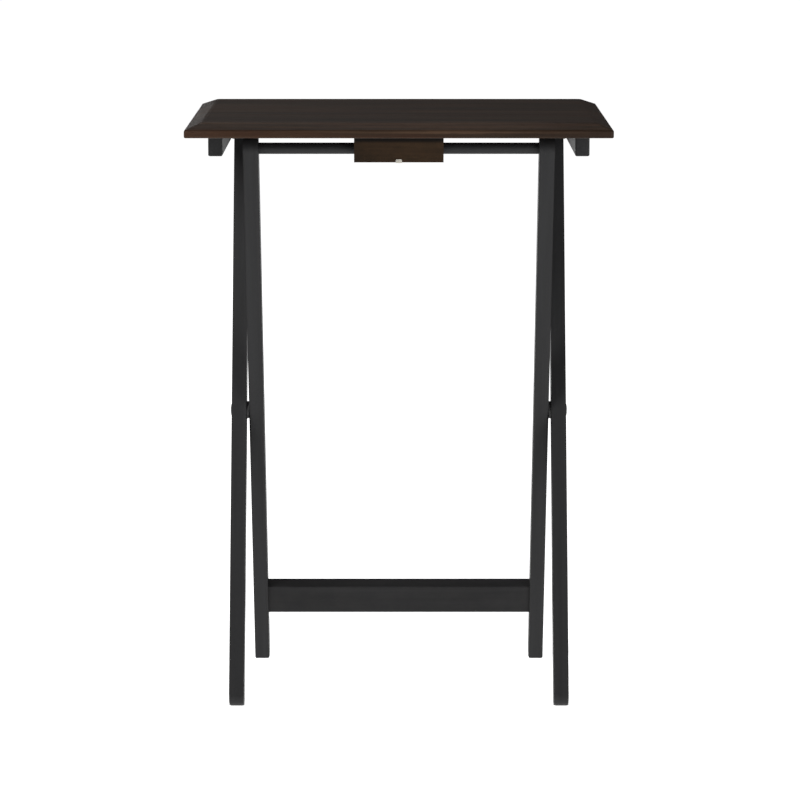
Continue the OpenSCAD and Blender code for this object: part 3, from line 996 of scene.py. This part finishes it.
def build_stage():
    """Pale floor, four soft lights, a grey room and the camera."""
    studio = bpy.context.scene.tray_table_studio
    bm = bmesh.new()
    corners = rectangle(-FLOOR_REACH, FLOOR_REACH, -FLOOR_REACH, FLOOR_REACH)
    bm.faces.new([bm.verts.new((x, y, -FLOOR_GAP)) for x, y in corners])
    floor = finish_mesh(bm, "studio_floor")
    material, tree, shader = new_material("pale_floor")
    soft = noise(tree, object_points(tree, (0.8, 0.8, 0.8)), 2.0, 0.5)
    pale = ramp(tree, soft, [(0.3, (0.90, 0.90, 0.90, 1.0)), (0.7, (0.93, 0.93, 0.93, 1.0))])
    tree.links.new(pale, shader.inputs["Base Color"])
    shader.inputs["Roughness"].default_value = 0.9
    shader.inputs["Specular IOR Level"].default_value = 0.1
    shader.inputs["Emission Color"].default_value = (1.0, 1.0, 1.0, 1.0)
    shader.inputs["Emission Strength"].default_value = studio.glow
    floor.data.materials.append(material)

    world = bpy.data.worlds.new("studio_room")
    bpy.context.scene.world = world
    world.use_nodes = True
    background = world.node_tree.nodes["Background"]
    background.inputs["Color"].default_value = (1.0, 1.0, 1.0, 1.0)
    background.inputs["Strength"].default_value = studio.room

    middle = Vector((0, 0, 0.38))
    lights = (("key_light", (-1.6, -2.0, 2.6), 1.5, studio.key),
              ("fill_light", (2.3, -2.7, 1.1), 1.8, studio.fill),
              ("top_light", (-0.3, 1.9, 2.7), 1.6, studio.top),
              ("rim_light", (-1.8, 3.2, 1.2), 1.8, studio.rim))
    for name, place, wide, power in lights:
        data = bpy.data.lights.new(name, "AREA")
        data.shape = "DISK"
        data.size = wide
        data.energy = power
        light = bpy.data.objects.new(name, data)
        light.location = place
        light.rotation_euler = (middle - Vector(place)).to_track_quat("-Z", "Y").to_euler()
        bpy.context.scene.collection.objects.link(light)

    data = bpy.data.cameras.new("camera")
    data.lens = studio.focal
    data.sensor_width = 36.0
    data.clip_end = 120.0
    camera = bpy.data.objects.new("camera", data)
    camera.location = (CAMERA_SIDE, -studio.distance, studio.height)
    camera.rotation_euler = (math.pi / 2 - studio.pitch, 0.0, 0.0)
    bpy.context.scene.collection.objects.link(camera)
    bpy.context.scene.camera = camera
    bpy.context.scene.view_settings.view_transform = "Standard"


# ---------------------------------------------------------------- operators and panel

class TRAY_TABLE_OT_stage(bpy.types.Operator):
    """Add the floor, lights, room and camera"""

    bl_idname = "tray_table.stage"
    bl_label = "Stage"

    def execute(self, context):
        build_stage()
        return {"FINISHED"}


class TRAY_TABLE_OT_tray_top(bpy.types.Operator):
    """Add the bevelled walnut tray top"""

    bl_idname = "tray_table.tray_top"
    bl_label = "Tray top"

    def execute(self, context):
        build_tray_top()
        return {"FINISHED"}


class TRAY_TABLE_OT_cleats(bpy.types.Operator):
    """Add the two black cleats under the tray"""

    bl_idname = "tray_table.cleats"
    bl_label = "Cleats"

    def execute(self, context):
        build_cleat("left")
        build_cleat("right")
        return {"FINISHED"}


class TRAY_TABLE_OT_screws(bpy.types.Operator):
    """Add the screws of the cleats and the catch block"""

    bl_idname = "tray_table.screws"
    bl_label = "Screws"

    def execute(self, context):
        build_screws("cleat_screws", "zinc_cleat_screws")
        build_screws("catch_block_screws", "zinc_block_screws")
        return {"FINISHED"}


class TRAY_TABLE_OT_catch(bpy.types.Operator):
    """Add the catch block with its clip and nail"""

    bl_idname = "tray_table.catch"
    bl_label = "Catch"

    def execute(self, context):
        build_catch_block()
        build_catch_clip()
        return {"FINISHED"}


class TRAY_TABLE_OT_legs(bpy.types.Operator):
    """Add the four legs"""

    bl_idname = "tray_table.legs"
    bl_label = "Legs"

    def execute(self, context):
        build_legs()
        return {"FINISHED"}


class TRAY_TABLE_OT_rails(bpy.types.Operator):
    """Add the stretcher and the two dowels"""

    bl_idname = "tray_table.rails"
    bl_label = "Stretcher and dowels"

    def execute(self, context):
        build_stretcher()
        build_dowels()
        return {"FINISHED"}


class TRAY_TABLE_OT_pivots(bpy.types.Operator):
    """Add the pivot bolts and the nylon washers"""

    bl_idname = "tray_table.pivots"
    bl_label = "Pivots"

    def execute(self, context):
        build_pivot_bolts()
        build_washers()
        return {"FINISHED"}


class TRAY_TABLE_OT_hidden_fixings(bpy.types.Operator):
    """Give the brads, inserts and wooden pins their materials"""

    bl_idname = "tray_table.hidden_fixings"
    bl_label = "Hidden fixings"

    def execute(self, context):
        dress_hidden_fixings()
        return {"FINISHED"}


OPERATORS = (TRAY_TABLE_OT_stage, TRAY_TABLE_OT_tray_top, TRAY_TABLE_OT_cleats, TRAY_TABLE_OT_screws,
             TRAY_TABLE_OT_catch, TRAY_TABLE_OT_legs, TRAY_TABLE_OT_rails, TRAY_TABLE_OT_pivots,
             TRAY_TABLE_OT_hidden_fixings)


class TRAY_TABLE_PT_panel(bpy.types.Panel):
    """Lists the pieces, sizes and colours of the tray table"""

    bl_idname = "TRAY_TABLE_PT_panel"
    bl_label = "Tray table"
    bl_space_type = "VIEW_3D"
    bl_region_type = "UI"
    bl_category = "Tray table"

    def draw(self, context):
        column = self.layout.column()
        for operator in OPERATORS:
            column.operator(operator.bl_idname)
        for group in GROUPS:
            box = self.layout.box()
            values = getattr(context.scene, GROUPS[group])
            for key in group.__annotations__:
                box.prop(values, key)


GROUPS = {TrayTableSizes: "tray_table_sizes", TrayTableColours: "tray_table_colours",
          TrayTableStudio: "tray_table_studio"}
CLASSES = (*GROUPS, *OPERATORS, TRAY_TABLE_PT_panel)


def register():
    """Registers the classes and the scene's settings."""
    for cls in CLASSES:
        bpy.utils.register_class(cls)
    for group, key in GROUPS.items():
        setattr(bpy.types.Scene, key, bpy.props.PointerProperty(type=group))


def unregister():
    """Removes what register added."""
    for key in GROUPS.values():
        delattr(bpy.types.Scene, key)
    for cls in reversed(CLASSES):
        bpy.utils.unregister_class(cls)


def main():
    """Builds everything."""
    register()
    for operator in OPERATORS:
        group, key = operator.bl_idname.split(".")
        getattr(getattr(bpy.ops, group), key)()


if __name__ == "__main__":
    main()
